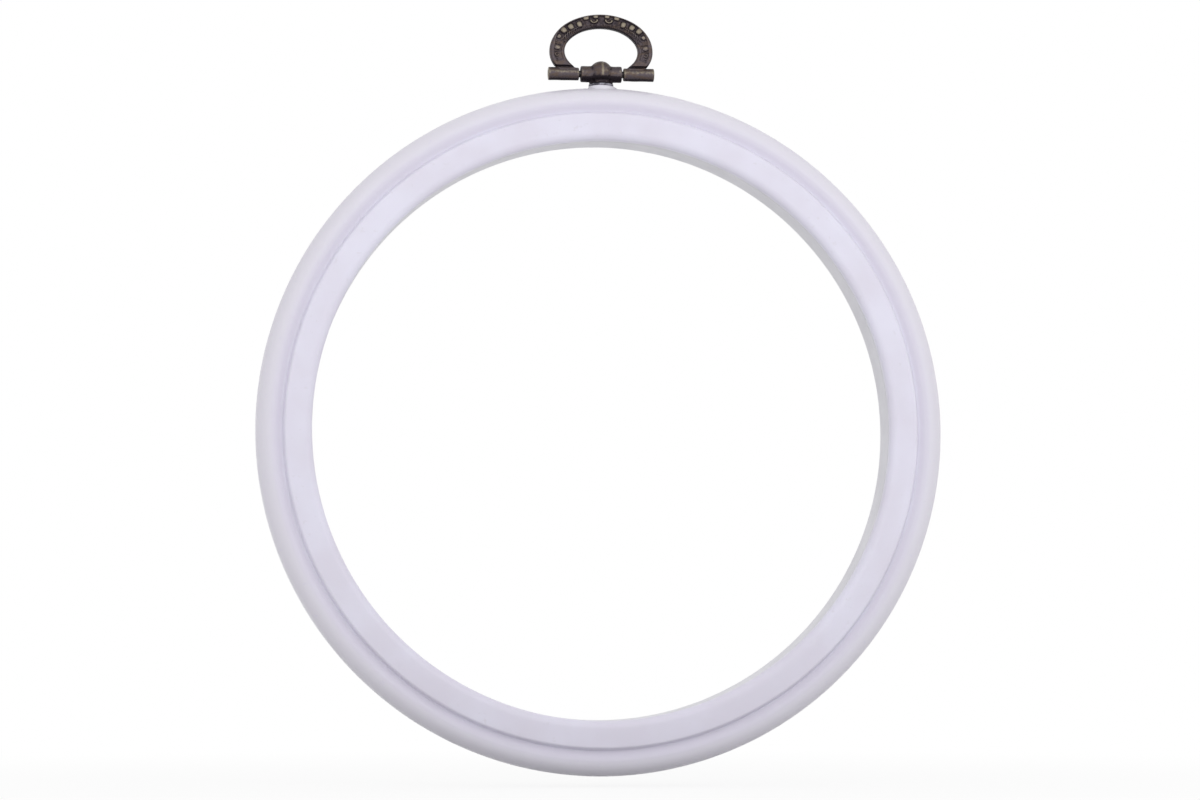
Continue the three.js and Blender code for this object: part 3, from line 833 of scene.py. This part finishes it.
def bail_arch(brass):
    """The horseshoe: a band with rounded edges, a cast pattern on both faces and its feet."""
    line, outward, arc = bail_line()
    flat_half = BAIL_BAND / 2 - BAIL_EDGE
    rounding = flat_half + BAIL_EDGE * np.sin(np.linspace(0, math.pi / 2, EDGE_STEPS + 1))
    flat = np.linspace(-flat_half, flat_half, FACE_STEPS)[1:-1]
    offset = np.concatenate([-rounding[::-1], flat, rounding])
    past = np.clip((np.abs(offset) - flat_half) / BAIL_EDGE, 0, 1)
    drop = BAIL_EDGE * (1 - np.sqrt(1 - past**2))
    distance, out = np.meshgrid(np.abs(arc), offset, indexing="ij")
    sunk, raised = bail_relief(distance, out)
    face = BAIL_THICKNESS / 2 - drop[None] - sunk + raised
    across = out * (1 + SIDE_SWELL * step_up(distance, *SWELL_SPAN))
    across = across * (1 - FOOT_TAPER * step_up(distance, *TAPER_SPAN) * (out > 0))
    across = np.concatenate([across, across[:, ::-1]], 1)
    place = line[:, None] + across[..., None] * outward[:, None]
    height = np.maximum(place[..., 1], PIN_Z - FOOT_SINK)
    at_foot = np.concatenate([distance] * 2, 1) > FOOT_START
    crease = hump(height - PIN_Z, FOOT_CREASE_RISE, FOOT_CREASE_WIDTH) * at_foot
    depth = np.concatenate([-face, face[:, ::-1]], 1)
    depth = depth - np.sign(depth) * FOOT_CREASE_DEPTH * crease
    rows = np.stack([place[..., 0], depth, height], -1)
    uneven = unevenness(rows.reshape(-1, 3), *BAIL_WAVES).reshape(depth.shape)
    rows[..., 1] += uneven * np.sign(depth)
    piece = make_piece("bail_arch", *tube(rows), brass, "bail", "bail", sharp=75)
    lift = PATTERN_RUBBED * step_up(raised, 0.08, 0.2)
    lift = lift - HOLLOW_DIRT * step_up(sunk - raised, 0.1, 0.2)
    # painted shade on the bail's edges, strongest on the inner edge, which faces down
    lift = lift - RIM_PAINTED_SHADE * (step_up(out, 0.95, 0.3) + 1.5 * step_up(-out, 0.8, 0.4))
    lift = np.concatenate([lift, lift[:, ::-1]], 1).reshape(-1)
    mark_wear_and_painted_light(piece, reach=14, contrast=0.5, lift=np.concatenate([lift, [0, 0]]))


# Materials
RIM_TINT_RADIUS = HOOP_RADIUS - 1.5  # where the rim's less blue tint is full
# painted shade along the groove's valley, centred on this radius
GROOVE_SHADE_RADIUS = BEAD_CREST - 0.5
GROOVE_SHADE_NEAR, GROOVE_SHADE_FAR = 0.4, 1.5  # to either side, where the painted shade beside the groove starts to fade and ends


def srgb(red, green, blue):
    """Linear colour from 8-bit display values."""
    return tuple(((c / 255 + 0.055) / 1.055) ** 2.4 for c in (red, green, blue))


class Surface:
    """A material for one of the record's slots, whose other nodes are added by short calls."""

    def __init__(self, name, colour, roughness, metallic=0.0):
        self.material = bpy.data.materials.new(name)
        self.material["slot"] = name
        self.material.use_nodes = True
        self.nodes, self.links = self.material.node_tree.nodes, self.material.node_tree.links
        self.shader = self.nodes["Principled BSDF"]
        self.set_input("Base Color", colour)
        self.set_input("Roughness", roughness)
        self.set_input("Metallic", metallic)
        self.place = self.nodes.new("ShaderNodeTexCoord").outputs["Object"]

    def join(self, output, socket):
        self.links.new(output, socket)

    def set_input(self, name, value):
        """Sets one of the shader's inputs, or links a node's output to it."""
        self.feed(self.shader.inputs[name], value)

    def feed(self, socket, value):
        """Sets a socket to a number or a colour, or links a node's output to it."""
        if isinstance(value, (int, float)):
            socket.default_value = value
        elif isinstance(value, tuple):
            socket.default_value = (*value, 1)
        else:
            self.links.new(value, socket)

    def noise(self, feature_mm, detail=4, stretch=1.0):
        """Noise with features about this many millimetres across, stretched along X."""
        node = self.nodes.new("ShaderNodeTexNoise")
        node.inputs["Scale"].default_value = 1 / (feature_mm * MM)
        node.inputs["Detail"].default_value = detail
        place = self.nodes.new("ShaderNodeMapping")
        place.inputs["Scale"].default_value = (1 / stretch, 1, 1)
        self.join(self.place, place.inputs["Vector"])
        self.join(place.outputs["Vector"], node.inputs["Vector"])
        return node.outputs["Fac"]

    def distance(self, centre, plane):
        """Distance from a centre in metres, along the axes that a plane of zeros and ones keeps."""
        place = self.nodes.new("ShaderNodeVectorMath")
        place.operation = "MULTIPLY_ADD"
        self.join(self.place, place.inputs[0])
        place.inputs[1].default_value = plane
        place.inputs[2].default_value = [-c * p for c, p in zip(centre, plane)]
        length = self.nodes.new("ShaderNodeVectorMath")
        length.operation = "LENGTH"
        self.join(place.outputs["Vector"], length.inputs[0])
        return length.outputs["Value"]

    def remap(self, value, low, high, to_low=0.0, to_high=1.0):
        """Takes low..high to to_low..to_high, eased at both ends."""
        node = self.nodes.new("ShaderNodeMapRange")
        node.interpolation_type = "SMOOTHSTEP"
        numbers = {"From Min": low, "From Max": high, "To Min": to_low, "To Max": to_high}
        for socket, number in numbers.items():
            node.inputs[socket].default_value = number
        self.join(value, node.inputs["Value"])
        return node.outputs["Result"]

    def calculate(self, operation, one, other):
        node = self.nodes.new("ShaderNodeMath")
        node.operation = operation
        self.feed(node.inputs[0], one)
        self.feed(node.inputs[1], other)
        return node.outputs[0]

    def blend(self, share, first, second):
        """A colour between two."""
        node = self.nodes.new("ShaderNodeMix")
        node.data_type = "RGBA"
        self.join(share, node.inputs["Factor"])
        self.feed(node.inputs[6], first)
        self.feed(node.inputs[7], second)
        return node.outputs[2]

    def mix_shaders(self, share, first, second, output):
        node = self.nodes.new("ShaderNodeMixShader")
        self.feed(node.inputs[0], share)
        self.join(first, node.inputs[1])
        self.join(second, node.inputs[2])
        self.join(node.outputs[0], output)

    def bump(self, height, distance_mm, strength):
        node = self.nodes.new("ShaderNodeBump")
        node.inputs["Strength"].default_value = strength
        node.inputs["Distance"].default_value = distance_mm * MM
        self.join(height, node.inputs["Height"])
        self.join(node.outputs["Normal"], self.shader.inputs["Normal"])


def soft_vinyl():
    """Soft moulded vinyl: cloudy, less blue at the rim and with painted shade beside the groove."""
    surface = Surface("soft_vinyl", srgb(226, 223, 238), 0.4)
    cloud = surface.remap(surface.noise(14, 3), 0.3, 0.7)
    fresh = surface.blend(cloud, srgb(223, 219, 233), srgb(229, 227, 242))
    from_axis = surface.distance((0, 0, HOOP_Z * MM), (1, 0, 1))
    rim = surface.remap(from_axis, GROOVE_RADIUS * MM, RIM_TINT_RADIUS * MM)
    tint = surface.blend(rim, fresh, srgb(225, 222, 232))
    off_groove_shade = surface.calculate("SUBTRACT", from_axis, GROOVE_SHADE_RADIUS * MM)
    off_groove_shade = surface.calculate("ABSOLUTE", off_groove_shade, 0)
    painted_shade = surface.remap(off_groove_shade, GROOVE_SHADE_NEAR * MM, GROOVE_SHADE_FAR * MM, 1, 0)
    # painted shade: darker along the bead's inner flank beside the groove
    tint = surface.blend(painted_shade, tint, srgb(220, 216, 230))
    fleck = surface.remap(surface.noise(1.1, 5), 0.62, 0.75)
    surface.set_input("Base Color", surface.blend(fleck, tint, srgb(222, 219, 232)))
    surface.set_input("Roughness", surface.remap(surface.noise(3, 4), 0.3, 0.7, 0.34, 0.46))
    surface.bump(surface.noise(0.9, 2), 0.003, 0.5)
    surface.set_input("Subsurface Weight", 0.15)
    surface.shader.inputs["Subsurface Radius"].default_value = (1.0, 0.85, 1.0)
    surface.set_input("Subsurface Scale", 0.0015)
    return surface.material


def rigid_plastic():
    """Hard moulded plastic, a more neutral white than the vinyl, dulled by handling."""
    surface = Surface("rigid_plastic", srgb(226, 225, 231), 0.45)
    cloud = surface.remap(surface.noise(9, 3), 0.3, 0.7)
    tint = surface.blend(cloud, srgb(222, 221, 227), srgb(229, 228, 234))
    surface.set_input("Base Color", tint)
    surface.set_input("Roughness", surface.remap(surface.noise(2, 3), 0.3, 0.7, 0.4, 0.52))
    surface.bump(surface.noise(0.8, 3), 0.004, 0.5)
    surface.set_input("Specular IOR Level", 0.3)
    return surface.material


def antique_brass():
    """Cast brass with a dark patina, browner in streaks and rubbed bright where it stands proud, with
    painted shade and painted highlights carried in the same attribute.
    """
    surface = Surface("antique_brass", srgb(82, 72, 66), 0.5, 0.8)
    wear_and_painted_light = surface.nodes.new("ShaderNodeAttribute")
    wear_and_painted_light.attribute_name = "wear_and_painted_light"
    broken = surface.calculate("SUBTRACT", surface.noise(0.4, 6), 0.5)
    broken = surface.calculate("MULTIPLY", broken, 0.7)
    proud = surface.calculate("ADD", wear_and_painted_light.outputs["Fac"], broken)
    streak = surface.remap(surface.noise(0.7, 4, 3), 0.42, 0.64)
    patina = surface.blend(streak, srgb(84, 76, 80), srgb(89, 76, 70))
    # dark colour where the attribute is low: patina in hollows, and painted shade on undersides, the
    # bail's edges, the neck and the tube ends
    patina_and_shade = surface.blend(surface.remap(proud, 0.1, 0.46), srgb(38, 31, 37), patina)
    # bright colour where the metal is rubbed, and painted highlights on the tube stripes and the
    # ball's seam
    wear_and_highlight = surface.blend(surface.remap(proud, 0.58, 0.95), patina_and_shade, srgb(128, 119, 105))
    surface.set_input("Base Color", wear_and_highlight)
    surface.set_input("Roughness", surface.remap(proud, 0.4, 0.85, 0.55, 0.34))
    surface.bump(surface.noise(0.16, 5), 0.012, 0.6)
    return surface.material


def plated_steel(dark, bright):
    """Zinc plating, dull and slightly mottled between two colours."""
    surface = Surface("plated_steel", bright, 0.4, 0.9)
    mottle = surface.remap(surface.noise(0.8, 5), 0.35, 0.65)
    surface.set_input("Base Color", surface.blend(mottle, dark, bright))
    surface.set_input("Roughness", surface.remap(surface.noise(0.5, 4), 0.3, 0.7, 0.3, 0.5))
    surface.bump(surface.noise(0.12, 4), 0.006, 0.5)
    return surface.material


# Stage


def seen_directly(nodes, links):
    """1 for rays from the camera, in reflections and through glass, and 0 for light on things."""
    path = nodes.new("ShaderNodeLightPath")
    seen = path.outputs["Is Camera Ray"]
    for other in ("Is Glossy Ray", "Is Transmission Ray"):
        either = nodes.new("ShaderNodeMath")
        either.operation = "MAXIMUM"
        links.new(seen, either.inputs[0])
        links.new(path.outputs[other], either.inputs[1])
        seen = either.outputs[0]
    return seen


def world():
    """White to the camera and in reflections, and a plain level of light on the object."""
    sky = bpy.data.worlds.new("studio")
    bpy.context.scene.world = sky
    sky.use_nodes = True
    nodes, links = sky.node_tree.nodes, sky.node_tree.links
    ambient = nodes["Background"]
    ambient.inputs["Color"].default_value = (1, 1, 1, 1)
    ambient.inputs["Strength"].default_value = WORLD_LIGHT
    white = nodes.new("ShaderNodeBackground")
    white.inputs["Color"].default_value = (1, 1, 1, 1)
    mix = nodes.new("ShaderNodeMixShader")
    links.new(seen_directly(nodes, links), mix.inputs["Fac"])
    links.new(ambient.outputs[0], mix.inputs[1])
    links.new(white.outputs[0], mix.inputs[2])
    links.new(mix.outputs[0], nodes["World Output"].inputs["Surface"])


def floor():
    """A pale floor that keeps the hoop's shadow near it and is plain white farther off, with a painted
    shadow under the hoop for the light that bounces off it.
    """
    surface = Surface("floor", (BOUNCE_FAR,) * 3, 0.9)
    seen = seen_directly(surface.nodes, surface.links)
    distance = surface.distance((0, 0, 0), (1, 1, 0))
    # painted shadow: the floor is darker under the hoop for the light that it bounces back
    away = surface.remap(distance, BOUNCE_START, BOUNCE_END)
    painted_shadow_bounce = surface.blend(away, (BOUNCE_PAINTED_SHADOW,) * 3, (BOUNCE_FAR,) * 3)
    surface.set_input("Base Color", surface.blend(seen, painted_shadow_bounce, (FLOOR_PALE,) * 3))
    glow = surface.remap(distance, GLOW_NEAR, GLOW_FAR, FLOOR_GLOW, 1)
    white = surface.nodes.new("ShaderNodeEmission").outputs[0]
    share = surface.calculate("MULTIPLY", glow, seen)
    output = surface.nodes["Material Output"].inputs["Surface"]
    surface.mix_shaders(share, surface.shader.outputs[0], white, output)
    mesh = bpy.data.meshes.new("floor")
    corners = [(-1, -1), (1, -1), (1, 1), (-1, 1)]
    mesh.from_pydata([(x * FLOOR_HALF, y * FLOOR_HALF, 0) for x, y in corners], [], [(0, 1, 2, 3)])
    mesh.materials.append(surface.material)
    ground = bpy.data.objects.new("floor", mesh)
    ground.location.z = FLOOR_Z
    bpy.context.scene.collection.objects.link(ground)


def lamp(name, place, target, power):
    """A round soft lamp, with its place and target in metres and its power in watts."""
    data = bpy.data.lights.new(name, "AREA")
    data.shape = "DISK"
    data.size = LAMP_SIZE
    data.energy = power
    light = bpy.data.objects.new(name, data)
    light.location = place
    light.rotation_euler = (Vector(target) - Vector(place)).to_track_quat("-Z", "Y").to_euler()
    bpy.context.scene.collection.objects.link(light)


def camera():
    """The photograph's view: a little from the left and below, with a long lens."""
    data = bpy.data.cameras.new("camera")
    data.sensor_width = SENSOR_WIDTH
    data.lens = LENS
    eye = bpy.data.objects.new("camera", data)
    yaw, pitch = math.radians(CAMERA_LEFT), math.radians(CAMERA_BELOW)
    level = math.cos(pitch)
    back = Vector((-math.sin(yaw) * level, -math.cos(yaw) * level, -math.sin(pitch)))
    eye.location = Vector(CAMERA_TARGET) + back * CAMERA_DISTANCE
    eye.rotation_euler = (-back).to_track_quat("-Z", "Y").to_euler()
    bpy.context.scene.collection.objects.link(eye)
    bpy.context.scene.camera = eye


vinyl, plastic, brass = soft_vinyl(), rigid_plastic(), antique_brass()
steel = plated_steel(srgb(112, 110, 118), srgb(158, 156, 164))
# darker copies of the plated steel, painted shade: the washer lies in the shadow under the knuckle,
# the pin in the dark gaps between the tubes
shaded_washer_steel = plated_steel(srgb(74, 72, 80), srgb(152, 150, 160))
shaded_pin_steel = plated_steel(srgb(42, 38, 40), srgb(84, 80, 82))
outer_ring(vinyl)
boss(vinyl)
inner_ring(plastic)
knuckle(brass)
stud(brass)
washer(shaded_washer_steel)
barrel(-1, "bail_barrel_left", brass)
barrel(1, "bail_barrel_right", brass)
bail_arch(brass)
pin(shaded_pin_steel)
fixing_screw(steel)

world()
floor()
lamp("key", place=(0.03, -0.35, 0.05), target=(0, 0, -0.04), power=0.33)
lamp("left", place=(-0.7, -0.6, 0.2), target=(0, 0, -0.06), power=0.16)
lamp("right", place=(0.7, -0.6, 0.2), target=(0, 0, -0.06), power=0.36)
camera()
bpy.context.scene.view_settings.view_transform = "Standard"
